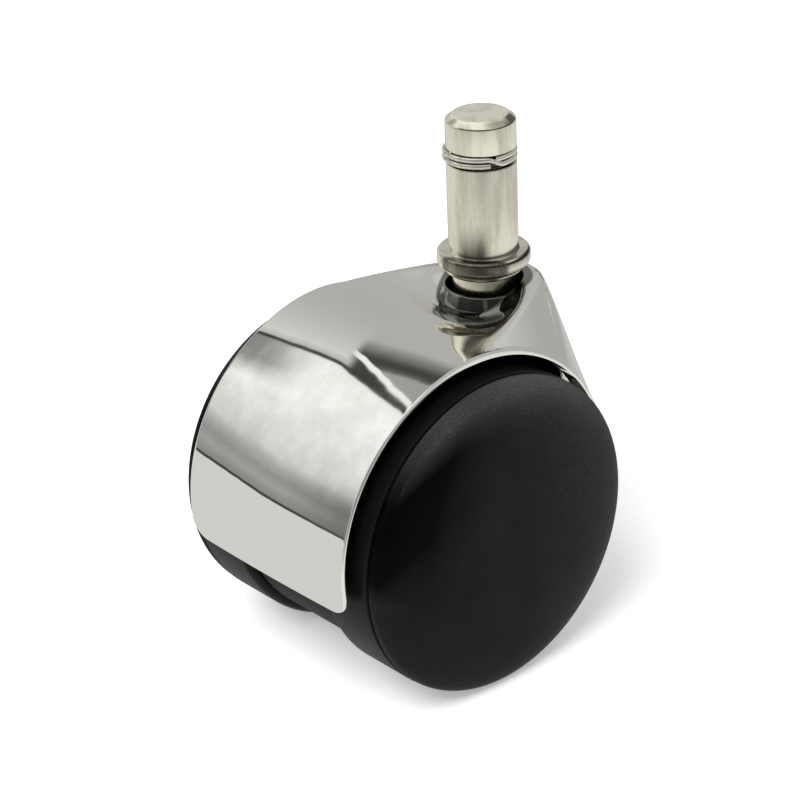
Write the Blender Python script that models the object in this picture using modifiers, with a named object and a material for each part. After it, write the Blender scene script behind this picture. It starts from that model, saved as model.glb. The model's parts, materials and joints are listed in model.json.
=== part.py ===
"""Hooded twin-wheel chair caster with a grip-ring stem.

Frame: origin at the centre of the stem's top face, +Z up along the swivel axis, +X from the
wheels towards the stem, +Y along the axle towards the left wheel. All lengths are in metres.
"""

import math

import bmesh
import bpy
from mathutils import Matrix, Vector

MM = 0.001

# Driving dimensions: the grip-ring stem, the wheel and the trail between their axes.
STEM_RADIUS = 5.5 * MM
STEM_LENGTH = 22.2 * MM
STEM_CHAMFER = 1.0 * MM
SEAT_TO_AXLE = 35.4 * MM
TRAIL = 18.6 * MM
WHEEL_RADIUS = 25.7 * MM
TYRE_INNER_Y = 10.0 * MM
TYRE_OUTER_Y = 20.7 * MM
WHEEL_HALF_WIDTH = 26.0 * MM

GAP = 0.3 * MM
CHAMFER = 0.4 * MM
AXLE_X = -TRAIL
AXLE_Z = -(STEM_LENGTH + SEAT_TO_AXLE)

# Hood: a shell from its front lip over the top to its back lip. Its arcs have their own centre,
# a little behind and above the axle, and its heights, distances and angles are from that centre.
HOOD_BACK = 0.5 * MM
HOOD_RAISE = 0.9 * MM
RIM_HALF_WIDTH = 18.45 * MM
RIM_INNER_RADIUS = 27.0 * MM
RIM_RADIUS = 27.65 * MM
RIM_TOP_EXTRA = 0.35 * MM
RIM_TOP_ANGLE = math.radians(88.0)
RIM_TOP_SPREAD = math.radians(36.0)
RIM_ROUND = 0.3 * MM
LIP_CORNER = 3.0 * MM
FRONT_ANGLE = math.radians(6.0)
BACK_ANGLE = math.radians(191.2)
BAND_CROWN = 0.35 * MM
SADDLE_RISE = 0.1 * MM
SADDLE_START = math.radians(104.0)
SADDLE_END = math.radians(119.0)
HOOD_WALL = 3.0 * MM
CREST_BACK_Z = 28.6 * MM
CREST_Z = 29.6 * MM
CREST_RISE_X = 25.5 * MM
FLANK_SLOPE = 0.92
FLANK_HOLLOW = 0.9 * MM
FLANK_FRONT = math.radians(45.0)
FLANK_BACK = math.radians(90.0)
SADDLE_FILL_START = 12.5 * MM
SADDLE_FILL_END = 21.5 * MM
FACE_DISTANCE = 31.4 * MM
FACE_LEAN = math.radians(7.2)
EDGE_BLEND = 0.5 * MM
SHOULDER_START = math.radians(48.0)
PLAIN_SHARE = 0.85
LEAST_SHARE = 0.35
CREST_ROUNDS = 12
ARC_STATIONS = 40
INSIDE_STATIONS = 6
OUTSIDE_STATIONS = 4

HOOD_CENTRE = (AXLE_X - HOOD_BACK, 0.0, AXLE_Z + HOOD_RAISE)

# Boss on the hood, about the swivel axis. Heights are above the axle.
MOUTH_RADIUS = 6.2 * MM
MOUTH_Z = 29.45 * MM
BEAD_RADIUS = 7.3 * MM
BEAD_Z = 27.6 * MM
COLUMN_RADIUS = 6.4 * MM
COLUMN_Z = 24.6 * MM
BOSS_BOTTOM_Z = 22.4 * MM

# Core body between the wheels, with the socket and the axle boss.
CORE_HALF_WIDTH = 8.6 * MM
CORE_RADIUS = 24.6 * MM
CORE_WALL = 2.2 * MM
CORE_WEB_HALF = 1.5 * MM
CORE_FLOOR_Z = -20.0 * MM
CORE_PAD_FRONT = math.radians(12.0)
CORE_PAD_BACK = math.radians(172.0)
SOCKET_RADIUS = 7.6 * MM
SOCKET_TOP_Z = 24.2 * MM
SOCKET_BORE_RADIUS = 6.3 * MM
SOCKET_FLOOR_Z = 4.1 * MM
SOCKET_BASE_Z = 1.5 * MM
AXLE_BOSS_RADIUS = 6.0 * MM

# Stem, its rings and its bearing. Heights are above the axle.
SEAT_Z = SEAT_TO_AXLE
COLLAR_RADIUS = 7.35 * MM
COLLAR_THICKNESS = 2.4 * MM
NECK_BEAD_RADIUS = 6.2 * MM
NECK_BEAD_HEIGHT = 1.4 * MM
NECK_RADIUS = 5.0 * MM
SHANK_RADIUS = 4.6 * MM
SHANK_END_Z = 9.0 * MM
GRIP_GROOVE_RADIUS = 4.65 * MM
GRIP_WIRE_RADIUS = 0.42 * MM
GRIP_RING_RADIUS = 5.4 * MM
GRIP_RING_HEIGHT = 14.9 * MM
GRIP_PITCH = 1.0 * MM
GRIP_TURNS = 1.9
CLIP_TURNS = 0.92
WIRE_STEPS = 24
CLIP_GROOVE_RADIUS = 3.9 * MM
CLIP_RING_RADIUS = 4.75 * MM
CLIP_WIRE_RADIUS = 0.45 * MM
CLIP_Z = 12.9 * MM
SLEEVE_BOTTOM_Z = 14.0 * MM
BALL_RADIUS = 2.5 * MM
BALL_Z = 8.4 * MM
DISC_TOP_Z = BALL_Z - BALL_RADIUS - GAP
DISC_BOTTOM_Z = SOCKET_FLOOR_Z + GAP

# Axle and the turned pieces of one wheel. Distances are from the mid-plane along the axle.
AXLE_RADIUS = 3.0 * MM
AXLE_HALF_LENGTH = 20.3 * MM
WASHER_RADIUS = 6.0 * MM
HUB_INNER_Y = 9.9 * MM
HUB_OUTER_Y = 18.2 * MM
BUSH_RADIUS = 4.6 * MM
HUB_RADIUS = 7.0 * MM
WEB_INNER_Y = 12.5 * MM
WEB_OUTER_Y = 14.5 * MM
DRUM_INNER_RADIUS = 19.2 * MM
DRUM_RADIUS = 21.9 * MM
COVER_EDGE_Y = TYRE_OUTER_Y + GAP
COVER_INSET = 0.1 * MM
COVER_ROUND = 4.1 * MM
COVER_DOME_SHARE = 0.22
COVER_WALL = 1.5 * MM
SKIRT_RADIUS = 18.9 * MM
SKIRT_WALL = 1.3 * MM
SKIRT_INNER_Y = 17.0 * MM
NUT_RADIUS = 5.6 * MM
NUT_THICKNESS = 1.0 * MM
TYRE_ROUND = 1.2 * MM

WHEEL_STEPS = 32
STEM_STEPS = 28
SMALL_STEPS = 20


def clear_scene():
    for obj in list(bpy.data.objects):
        bpy.data.objects.remove(obj, do_unlink=True)


def make_collection(name):
    collection = bpy.data.collections.new(name)
    bpy.context.scene.collection.children.link(collection)
    return collection


def make_material(name, colour, roughness, metallic):
    material = bpy.data.materials.new(name)
    material.use_nodes = True
    shader = material.node_tree.nodes["Principled BSDF"]
    shader.inputs["Base Color"].default_value = (*colour, 1.0)
    shader.inputs["Roughness"].default_value = roughness
    shader.inputs["Metallic"].default_value = metallic
    material.diffuse_color = (*colour, 1.0)
    return material


def smoothstep(value, low, high):
    t = min(max((value - low) / (high - low), 0.0), 1.0)
    return t * t * (3.0 - 2.0 * t)


def soft_min(a, b, blend):
    """The smaller of two lengths, rounded over a distance blend where they cross."""
    h = max(blend - abs(a - b), 0.0) / blend
    return min(a, b) - h * h * blend / 4.0


def mesh_object(name, mesh, collection, material, parent):
    obj = bpy.data.objects.new(name, mesh)
    if not mesh.materials:
        mesh.materials.append(material)
    collection.objects.link(obj)
    obj.parent = parent
    return obj


def outline_mesh(name, points, closed):
    """A wire profile in the XZ plane, for a Screw modifier."""
    mesh = bpy.data.meshes.new(name)
    edges = [(i, i + 1) for i in range(len(points) - 1)]
    if closed:
        edges.append((len(points) - 1, 0))
    mesh.from_pydata([(r, 0.0, z) for r, z in points], edges, [])
    return mesh


def add_screw(obj, steps):
    screw = obj.modifiers.new("turn", "SCREW")
    screw.axis = "Z"
    screw.steps = steps
    screw.render_steps = steps
    screw.use_merge_vertices = True
    screw.merge_threshold = 0.00001
    screw.use_smooth_shade = True
    return screw


def turned(name, points, closed, steps, collection, material, parent):
    obj = mesh_object(name, outline_mesh(name, points, closed), collection, material, parent)
    add_screw(obj, steps)
    return obj


def evaluated_mesh(obj):
    depsgraph = bpy.context.evaluated_depsgraph_get()
    mesh = bpy.data.meshes.new_from_object(obj.evaluated_get(depsgraph))
    work = bmesh.new()
    work.from_mesh(mesh)
    bmesh.ops.remove_doubles(work, verts=work.verts, dist=0.00001)
    work.to_mesh(mesh)
    work.free()
    return mesh


def cylinder(name, radius, low, high, steps, collection):
    """A cylinder along its own Z, from low to high."""
    mesh = bpy.data.meshes.new(name)
    work = bmesh.new()
    bmesh.ops.create_cone(
        work, cap_ends=True, segments=steps, radius1=radius, radius2=radius,
        depth=high - low, matrix=Matrix.Translation((0.0, 0.0, (low + high) / 2.0)),
    )
    work.to_mesh(mesh)
    work.free()
    obj = bpy.data.objects.new(name, mesh)
    collection.objects.link(obj)
    return obj


def hide_cutter(obj):
    obj.hide_render = True
    obj.display_type = "WIRE"


def add_boolean(obj, other, operation):
    modifier = obj.modifiers.new(other.name, "BOOLEAN")
    modifier.operation = operation
    modifier.solver = "EXACT"
    modifier.object = other
    hide_cutter(other)


# --- hood ---------------------------------------------------------------------------------


def rim_radius(angle):
    """Outer radius of the rim, which thickens towards the top of the hood."""
    share = min(abs(angle - RIM_TOP_ANGLE) / RIM_TOP_SPREAD, 1.0)
    return RIM_RADIUS + RIM_TOP_EXTRA * (1.0 - smoothstep(share, 0.0, 1.0))


def crest_height(x):
    """Height of the crest of the shoulder at a distance x in front of the hood's centre."""
    return CREST_BACK_Z + (CREST_Z - CREST_BACK_Z) * smoothstep(x, 0.0, CREST_RISE_X)


def crest_radius(angle):
    """Distance to the crest along a ray, found by repeating from a first guess."""
    radius = CREST_Z / math.sin(angle)
    for _ in range(CREST_ROUNDS):
        radius = crest_height(radius * math.cos(angle)) / math.sin(angle)
    return radius


def flank_foot(angle):
    """Radius where the flat flank would meet the rim plane."""
    span = (angle - FLANK_FRONT) / (FLANK_BACK - FLANK_FRONT)
    bump = math.sin(math.pi * min(max(span, 0.0), 1.0))
    return rim_radius(angle) - FLANK_HOLLOW * bump


def face_radius(angle):
    """Radius of the front face in the mid-plane, where it is a flat that leans back."""
    return FACE_DISTANCE / math.cos(angle - FACE_LEAN)


def crest_place(angle):
    """Radius of the crest and its distance from the mid-plane, at an angle in the shoulder."""
    crest = crest_radius(angle)
    return crest, RIM_HALF_WIDTH - (crest - flank_foot(angle)) / FLANK_SLOPE


def saddle_floor(angle, crest):
    """Radius of the saddle in the mid-plane; it fills up to the crest in front of the boss."""
    fill = smoothstep(crest * math.cos(angle), SADDLE_FILL_START, SADDLE_FILL_END)
    floor = rim_radius(angle) + SADDLE_RISE
    return floor + (crest - floor) * fill


def shoulder_radius(angle, y):
    """Outer radius in front of the hood's top: front face, two flanks and the saddle."""
    share = y / RIM_HALF_WIDTH
    rim = rim_radius(angle)
    face = rim + (face_radius(angle) - rim) * (1.0 - share * share)
    flank = flank_foot(angle) + FLANK_SLOPE * (RIM_HALF_WIDTH - abs(y))
    crest, crest_y = crest_place(angle)
    floor = saddle_floor(angle, crest)
    reach = abs(y) / max(crest_y, EDGE_BLEND)
    saddle = floor + (crest - floor) * reach * reach
    radius = soft_min(soft_min(flank, face, EDGE_BLEND * 2.0), saddle, EDGE_BLEND)
    return max(radius, rim + SADDLE_RISE * (1.0 - share * share))


def hood_radius(angle, y):
    if angle < FLANK_BACK:
        return shoulder_radius(angle, y)
    share = y / RIM_HALF_WIDTH
    rise = smoothstep(angle, SADDLE_START, SADDLE_END)
    crown = SADDLE_RISE + (BAND_CROWN - SADDLE_RISE) * rise
    return rim_radius(angle) + crown * (1.0 - share * share)


def rounded_half_width(distance):
    """Half width of the hood at an arc distance from its lip, with the corner rounded."""
    short = max(LIP_CORNER - distance, 0.0)
    return RIM_HALF_WIDTH - LIP_CORNER + math.sqrt(LIP_CORNER**2 - short**2)


def hood_angles():
    """Stations round the axle, closer together at the rounded corners of both lips."""
    corner = LIP_CORNER / RIM_RADIUS
    ends = [corner * (1.0 - math.cos(math.radians(a))) for a in (0, 25, 45, 65)]
    start = FRONT_ANGLE + corner
    stop = BACK_ANGLE - corner
    middle = [start + (stop - start) * i / ARC_STATIONS for i in range(ARC_STATIONS + 1)]
    front = [FRONT_ANGLE + e for e in ends]
    back = [BACK_ANGLE - e for e in reversed(ends)]
    return front + middle + back


def crest_share(angle):
    """Share of the half width at which the crest runs, so that a line of points follows it."""
    if not SHOULDER_START < angle < FLANK_BACK:
        return PLAIN_SHARE
    share = crest_place(angle)[1] / RIM_HALF_WIDTH
    return min(max(share, LEAST_SHARE), PLAIN_SHARE)


def hood_section(angle):
    """Outer then inner points of one section, as (y, radius) pairs."""
    lip = min(angle - FRONT_ANGLE, BACK_ANGLE - angle) * RIM_RADIUS
    half = rounded_half_width(lip)
    flat = half - RIM_ROUND
    share = crest_share(angle)
    inside = [share * i / INSIDE_STATIONS for i in range(INSIDE_STATIONS + 1)]
    outside = [share + (1.0 - share) * i / OUTSIDE_STATIONS for i in range(1, OUTSIDE_STATIONS + 1)]
    right = [flat * s for s in inside + outside]
    stations = [-y for y in right[:0:-1]] + right
    outer = [(y, hood_radius(angle, y)) for y in stations]
    edge = hood_radius(angle, half) - RIM_ROUND
    outer = [(-half, edge)] + outer + [(half, edge)]
    inner = [(y, max(RIM_INNER_RADIUS, r - HOOD_WALL)) for y, r in outer]
    return outer + inner[::-1]


def hood_shell(collection, material, parent):
    """Loft the sections round the axle and cap both ends with strips."""
    work = bmesh.new()
    rings = []
    for angle in hood_angles():
        ring = [
            work.verts.new((r * math.cos(angle), y, r * math.sin(angle)))
            for y, r in hood_section(angle)
        ]
        rings.append(ring)
    count = len(rings[0])
    for a, b in zip(rings, rings[1:]):
        for i in range(count):
            j = (i + 1) % count
            work.faces.new((a[i], b[i], b[j], a[j]))
    for ring, flip in ((rings[0], False), (rings[-1], True)):
        for i in range(count // 2 - 1):
            face = (ring[i], ring[i + 1], ring[count - 2 - i], ring[count - 1 - i])
            work.faces.new(face[::-1] if flip else face)
    bmesh.ops.recalc_face_normals(work, faces=work.faces)
    mesh = bpy.data.meshes.new("hood")
    work.to_mesh(mesh)
    work.free()
    obj = mesh_object("hood", mesh, collection, material, parent)
    obj.location = HOOD_CENTRE
    return obj


def hood_boss_profile():
    """From the axis out over the mouth, round the bead and back in at the bottom."""
    middle = (BEAD_RADIUS + COLUMN_RADIUS) / 2.0
    return [
        (0.0, MOUTH_Z),
        (MOUTH_RADIUS + CHAMFER, MOUTH_Z),
        (BEAD_RADIUS - CHAMFER / 2.0, MOUTH_Z - CHAMFER * 2.0),
        (BEAD_RADIUS, BEAD_Z),
        (middle, (BEAD_Z + COLUMN_Z) / 2.0),
        (COLUMN_RADIUS, COLUMN_Z),
        (COLUMN_RADIUS, BOSS_BOTTOM_Z),
        (0.0, BOSS_BOTTOM_Z),
    ]


def on_swivel_axis(obj):
    """Place a piece whose heights are measured from the axle on the swivel axis."""
    obj.location = (0.0, 0.0, AXLE_Z)


def along_axle(obj, side):
    """Turn a piece so that its own Z points outward along the axle on the given side."""
    obj.location = (AXLE_X, 0.0, AXLE_Z)
    obj.rotation_euler = (-side * math.pi / 2.0, 0.0, 0.0)


def build_hood(parts, cutters, material, parent):
    hood = hood_shell(parts, material, parent)
    boss = turned("hood_boss_shape", hood_boss_profile(), False, STEM_STEPS, cutters, material, None)
    on_swivel_axis(boss)
    add_boolean(hood, boss, "UNION")
    counterbore = cylinder(
        "hood_counterbore", SOCKET_RADIUS + GAP, 0.0, SOCKET_TOP_Z + GAP, STEM_STEPS, cutters)
    on_swivel_axis(counterbore)
    add_boolean(hood, counterbore, "DIFFERENCE")
    mouth = cylinder("hood_mouth", MOUTH_RADIUS, 0.0, SEAT_Z, STEM_STEPS, cutters)
    on_swivel_axis(mouth)
    add_boolean(hood, mouth, "DIFFERENCE")
    return hood


# --- core body ----------------------------------------------------------------------------


def core_outline(inset):
    """Outline of the core in the XZ plane: a pad under the hood, the belly and a flat floor."""
    pad = RIM_INNER_RADIUS - GAP - inset
    belly = CORE_RADIUS - inset
    floor = CORE_FLOOR_Z + inset
    turn = math.acos(-floor / belly)
    low = 3.0 * math.pi / 2.0
    front = CORE_PAD_FRONT + inset / pad
    back = CORE_PAD_BACK - inset / pad
    stretches = [
        (pad, front, back, 26),
        (belly, back, low - turn, 10),
        (belly, low + turn, 2.0 * math.pi + front, 10),
    ]
    points = []
    for radius, start, stop, count in stretches:
        for i in range(count + 1):
            angle = start + (stop - start) * i / count
            points.append((radius * math.cos(angle), radius * math.sin(angle)))
    return points


def flat_piece(name, outlines, half_thickness, collection):
    """A flat outline about the hood's centre, with any holes, standing in the XZ plane.

    A hole runs the other way round from the outline, so that its walls face out.
    """
    curve = bpy.data.curves.new(name, "CURVE")
    curve.dimensions = "2D"
    curve.fill_mode = "BOTH"
    curve.extrude = half_thickness
    for outline in [outlines[0]] + [hole[::-1] for hole in outlines[1:]]:
        spline = curve.splines.new("POLY")
        spline.points.add(len(outline) - 1)
        for point, (x, z) in zip(spline.points, outline):
            point.co = (x, z, 0.0, 1.0)
        spline.use_cyclic_u = True
    drawn = bpy.data.objects.new(name + "_outline", curve)
    collection.objects.link(drawn)
    bpy.context.view_layer.update()
    mesh = evaluated_mesh(drawn)
    bpy.data.objects.remove(drawn, do_unlink=True)
    obj = bpy.data.objects.new(name, mesh)
    collection.objects.link(obj)
    obj.location = HOOD_CENTRE
    obj.rotation_euler = (math.pi / 2.0, 0.0, 0.0)
    return obj


def build_core(parts, cutters, material, parent):
    core = flat_piece("core_body", [core_outline(0.0), core_outline(CORE_WALL)], CORE_HALF_WIDTH, parts)
    core.data.materials.append(material)
    core.parent = parent
    web = flat_piece("core_web", [core_outline(CORE_WALL / 2.0)], CORE_WEB_HALF, cutters)
    add_boolean(core, web, "UNION")
    boss = cylinder(
        "core_axle_boss", AXLE_BOSS_RADIUS, -CORE_HALF_WIDTH, CORE_HALF_WIDTH, STEM_STEPS, cutters)
    along_axle(boss, 1.0)
    add_boolean(core, boss, "UNION")
    tube = cylinder("core_socket", SOCKET_RADIUS, SOCKET_BASE_Z, SOCKET_TOP_Z, STEM_STEPS, cutters)
    on_swivel_axis(tube)
    add_boolean(core, tube, "UNION")
    bore = cylinder("core_bore", SOCKET_BORE_RADIUS, SOCKET_FLOOR_Z, SEAT_Z, STEM_STEPS, cutters)
    on_swivel_axis(bore)
    add_boolean(core, bore, "DIFFERENCE")
    hole = cylinder(
        "core_axle_hole", AXLE_RADIUS + GAP, -WHEEL_RADIUS, WHEEL_RADIUS, SMALL_STEPS, cutters)
    along_axle(hole, 1.0)
    add_boolean(core, hole, "DIFFERENCE")
    return core


# --- stem group ---------------------------------------------------------------------------


def stem_profile():
    """From the centre of the top face down the outer side to the ball recess."""
    top = SEAT_Z + STEM_LENGTH
    groove_low = SEAT_Z + GRIP_RING_HEIGHT - GRIP_WIRE_RADIUS - GAP
    groove_high = SEAT_Z + GRIP_RING_HEIGHT + GRIP_PITCH * 2.0 + GRIP_WIRE_RADIUS + GAP
    collar = SEAT_Z - COLLAR_THICKNESS
    neck = collar - NECK_BEAD_HEIGHT
    clip_low = CLIP_Z - CLIP_WIRE_RADIUS - GAP
    clip_high = CLIP_Z + CLIP_WIRE_RADIUS + GAP
    recess = BALL_RADIUS + GAP
    return [
        (0.0, top),
        (STEM_RADIUS - STEM_CHAMFER, top),
        (STEM_RADIUS, top - STEM_CHAMFER),
        (STEM_RADIUS, groove_high),
        (GRIP_GROOVE_RADIUS, groove_high),
        (GRIP_GROOVE_RADIUS, groove_low),
        (STEM_RADIUS, groove_low),
        (STEM_RADIUS, SEAT_Z),
        (COLLAR_RADIUS - CHAMFER, SEAT_Z),
        (COLLAR_RADIUS, SEAT_Z - CHAMFER),
        (COLLAR_RADIUS, collar + CHAMFER),
        (COLLAR_RADIUS - CHAMFER, collar),
        (NECK_BEAD_RADIUS, collar),
        (NECK_BEAD_RADIUS, neck + CHAMFER),
        (NECK_RADIUS, neck),
        (NECK_RADIUS, SOCKET_TOP_Z + CHAMFER * 2.0),
        (SHANK_RADIUS, SOCKET_TOP_Z + CHAMFER),
        (SHANK_RADIUS, clip_high),
        (CLIP_GROOVE_RADIUS, clip_high),
        (CLIP_GROOVE_RADIUS, clip_low),
        (SHANK_RADIUS, clip_low),
        (SHANK_RADIUS, SHANK_END_Z + CHAMFER),
        (SHANK_RADIUS - CHAMFER, SHANK_END_Z),
        (recess, SHANK_END_Z),
        (recess, BALL_Z + BALL_RADIUS + GAP),
        (0.0, BALL_Z + BALL_RADIUS + GAP),
    ]


def wire_ring(name, radius, wire, turns, pitch, height, collection, material, parent):
    """A round wire bent into an open ring or a short coil about the swivel axis."""
    curve = bpy.data.curves.new(name, "CURVE")
    curve.dimensions = "3D"
    curve.bevel_depth = wire
    curve.bevel_resolution = 2
    curve.use_fill_caps = True
    count = int(WIRE_STEPS * turns)
    spline = curve.splines.new("POLY")
    spline.points.add(count)
    for i, point in enumerate(spline.points):
        angle = 2.0 * math.pi * turns * i / count
        rise = pitch * turns * i / count
        point.co = (radius * math.cos(angle), radius * math.sin(angle), rise, 1.0)
    curve.materials.append(material)
    obj = bpy.data.objects.new(name, curve)
    collection.objects.link(obj)
    obj.parent = parent
    obj.location = (0.0, 0.0, AXLE_Z + height)
    return obj


def build_stem(parts, steel, spring, parent):
    stem = turned("stem", stem_profile(), False, STEM_STEPS, parts, steel, parent)
    on_swivel_axis(stem)
    grip_height = SEAT_Z + GRIP_RING_HEIGHT
    wire_ring(
        "grip_ring", GRIP_RING_RADIUS, GRIP_WIRE_RADIUS, GRIP_TURNS, GRIP_PITCH, grip_height,
        parts, spring, parent)
    wire_ring(
        "retaining_ring", CLIP_RING_RADIUS, CLIP_WIRE_RADIUS, CLIP_TURNS, 0.0, CLIP_Z,
        parts, spring, parent)


def ring_profile(inner, outer, low, high):
    """A plain ring: down the outer side, then up the inner side."""
    return [(outer, high), (outer, low), (inner, low), (inner, high)]


def build_socket_parts(parts, bronze, steel, parent):
    sleeve = turned(
        "socket_sleeve",
        ring_profile(SHANK_RADIUS + GAP, SOCKET_BORE_RADIUS - GAP, SLEEVE_BOTTOM_Z, SOCKET_TOP_Z),
        True, SMALL_STEPS + 4, parts, bronze, parent)
    on_swivel_axis(sleeve)
    disc_radius = SOCKET_BORE_RADIUS - GAP
    disc = turned(
        "thrust_disc",
        [(0.0, DISC_TOP_Z), (disc_radius, DISC_TOP_Z),
         (disc_radius, DISC_BOTTOM_Z), (0.0, DISC_BOTTOM_Z)],
        False, SMALL_STEPS, parts, steel, parent)
    on_swivel_axis(disc)
    mesh = bpy.data.meshes.new("thrust_ball")
    work = bmesh.new()
    bmesh.ops.create_uvsphere(work, u_segments=16, v_segments=10, radius=BALL_RADIUS)
    work.to_mesh(mesh)
    work.free()
    ball = mesh_object("thrust_ball", mesh, parts, steel, parent)
    ball.location = (0.0, 0.0, AXLE_Z + BALL_Z)


# --- wheels -------------------------------------------------------------------------------


def arc(centre_r, centre_z, radius_r, radius_z, start, stop, count):
    """Points of an elliptic arc in a profile; angles in degrees, zero pointing outward."""
    points = []
    for i in range(count + 1):
        angle = math.radians(start + (stop - start) * i / count)
        points.append((centre_r + radius_r * math.cos(angle), centre_z + radius_z * math.sin(angle)))
    return points


def tyre_profile():
    inner = DRUM_RADIUS + GAP
    outer = arc(
        WHEEL_RADIUS - TYRE_ROUND, TYRE_INNER_Y + TYRE_ROUND, TYRE_ROUND, TYRE_ROUND, 0.0, -90.0, 3)
    return [
        (inner, TYRE_OUTER_Y),
        (WHEEL_RADIUS - CHAMFER, TYRE_OUTER_Y),
        (WHEEL_RADIUS, TYRE_OUTER_Y - CHAMFER),
    ] + outer + [(inner, TYRE_INNER_Y)]


def wheel_core_profile():
    hub_inner = BUSH_RADIUS + GAP
    low = TYRE_INNER_Y + GAP
    high = TYRE_OUTER_Y - GAP
    return [
        (DRUM_RADIUS, high),
        (DRUM_RADIUS, low),
        (DRUM_INNER_RADIUS, low),
        (DRUM_INNER_RADIUS, WEB_INNER_Y),
        (HUB_RADIUS, WEB_INNER_Y),
        (HUB_RADIUS, HUB_INNER_Y),
        (hub_inner, HUB_INNER_Y),
        (hub_inner, HUB_OUTER_Y),
        (HUB_RADIUS, HUB_OUTER_Y),
        (HUB_RADIUS, WEB_OUTER_Y),
        (DRUM_INNER_RADIUS, WEB_OUTER_Y),
        (DRUM_INNER_RADIUS, high),
    ]


def cover_profile():
    """A domed cap with a snap skirt that enters the drum."""
    edge = WHEEL_RADIUS - COVER_INSET
    base = COVER_EDGE_Y + CHAMFER
    flat = edge - COVER_ROUND
    fall = COVER_DOME_SHARE * (WHEEL_HALF_WIDTH - base)
    rim = arc(flat, base, COVER_ROUND, WHEEL_HALF_WIDTH - base - fall, 78.0, 0.0, 5)
    inner_y = WHEEL_HALF_WIDTH - COVER_WALL
    skirt_inner = SKIRT_RADIUS - SKIRT_WALL
    return [(0.0, WHEEL_HALF_WIDTH), (flat / 2.0, WHEEL_HALF_WIDTH - fall / 4.0)] + rim + [
        (edge, COVER_EDGE_Y),
        (SKIRT_RADIUS, COVER_EDGE_Y),
        (SKIRT_RADIUS, SKIRT_INNER_Y),
        (skirt_inner, SKIRT_INNER_Y),
        (skirt_inner, inner_y - CHAMFER),
        (0.0, inner_y),
    ]


def build_wheel(side, label, parts, materials, hinge, frame):
    """The turned pieces of one wheel; the washer and the nut stay on the axle."""
    washer_low = CORE_HALF_WIDTH + GAP
    washer_high = HUB_INNER_Y - GAP
    nut_low = HUB_OUTER_Y + GAP
    nut_high = nut_low + NUT_THICKNESS
    bore = AXLE_RADIUS + GAP
    pieces = [
        ("tyre_", tyre_profile(), True, WHEEL_STEPS, "tyre", hinge),
        ("wheel_core_", wheel_core_profile(), True, WHEEL_STEPS, "nylon", hinge),
        ("cover_", cover_profile(), False, WHEEL_STEPS, "cover", hinge),
        ("hub_bush_", ring_profile(bore, BUSH_RADIUS, HUB_INNER_Y, HUB_OUTER_Y),
         True, SMALL_STEPS, "bronze", hinge),
        ("side_washer_", ring_profile(bore, WASHER_RADIUS, washer_low, washer_high),
         True, SMALL_STEPS, "steel", frame),
        ("push_nut_", ring_profile(bore, NUT_RADIUS, nut_low, nut_high),
         True, SMALL_STEPS, "spring", frame),
    ]
    for stem_name, profile, closed, steps, key, parent in pieces:
        obj = turned(stem_name + label, profile, closed, steps, parts, materials[key], None)
        along_axle(obj, side)
        obj.parent = parent
        obj.matrix_parent_inverse = parent.matrix_world.inverted()


def build_axle(parts, steel, parent):
    half = AXLE_HALF_LENGTH
    profile = [
        (0.0, half),
        (AXLE_RADIUS - CHAMFER, half),
        (AXLE_RADIUS, half - CHAMFER),
        (AXLE_RADIUS, CHAMFER - half),
        (AXLE_RADIUS - CHAMFER, -half),
        (0.0, -half),
    ]
    axle = turned("axle", profile, False, SMALL_STEPS, parts, steel, parent)
    along_axle(axle, 1.0)


def make_empty(name, location, collection):
    empty = bpy.data.objects.new(name, None)
    collection.objects.link(empty)
    empty.location = Vector(location)
    return empty


def build():
    clear_scene()
    parts = make_collection("chair_caster")
    cutters = make_collection("cutters")
    materials = {
        "chrome": make_material("chrome_plate", (0.82, 0.82, 0.81), 0.06, 1.0),
        "plated": make_material("plated_steel", (0.76, 0.74, 0.68), 0.22, 1.0),
        "spring": make_material("spring_steel", (0.62, 0.60, 0.55), 0.25, 1.0),
        "steel": make_material("bright_steel", (0.60, 0.60, 0.60), 0.20, 1.0),
        "bronze": make_material("sintered_bronze", (0.60, 0.45, 0.25), 0.45, 1.0),
        "core": make_material("black_housing", (0.020, 0.020, 0.020), 0.50, 0.0),
        "nylon": make_material("black_nylon", (0.025, 0.025, 0.026), 0.50, 0.0),
        "tyre": make_material("black_tread", (0.030, 0.030, 0.031), 0.55, 0.0),
        "cover": make_material("satin_black_cover", (0.024, 0.024, 0.023), 0.42, 0.0),
    }
    swivel = make_empty("swivel_axis", (0.0, 0.0, 0.0), parts)
    frame = make_empty("hood_frame", (0.0, 0.0, 0.0), parts)
    build_stem(parts, materials["plated"], materials["spring"], swivel)
    build_socket_parts(parts, materials["bronze"], materials["steel"], frame)
    build_hood(parts, cutters, materials["chrome"], frame)
    build_core(parts, cutters, materials["core"], frame)
    build_axle(parts, materials["steel"], frame)
    for side, label in ((1.0, "left"), (-1.0, "right")):
        hinge = make_empty("wheel_axis_" + label, (AXLE_X, 0.0, AXLE_Z), parts)
        bpy.context.view_layer.update()
        build_wheel(side, label, parts, materials, hinge, frame)


build()
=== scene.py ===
"""Looks for the hooded twin-wheel chair caster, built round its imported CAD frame.

Everything is in metres, in the frame of the CAD: origin at the centre of the stem's top face,
+Z up along the swivel axis, +X from the wheels towards the stem, +Y along the axle.
"""

import json
import math

import bmesh
import bpy
import numpy as np
from mathutils import Matrix, Vector


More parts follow.
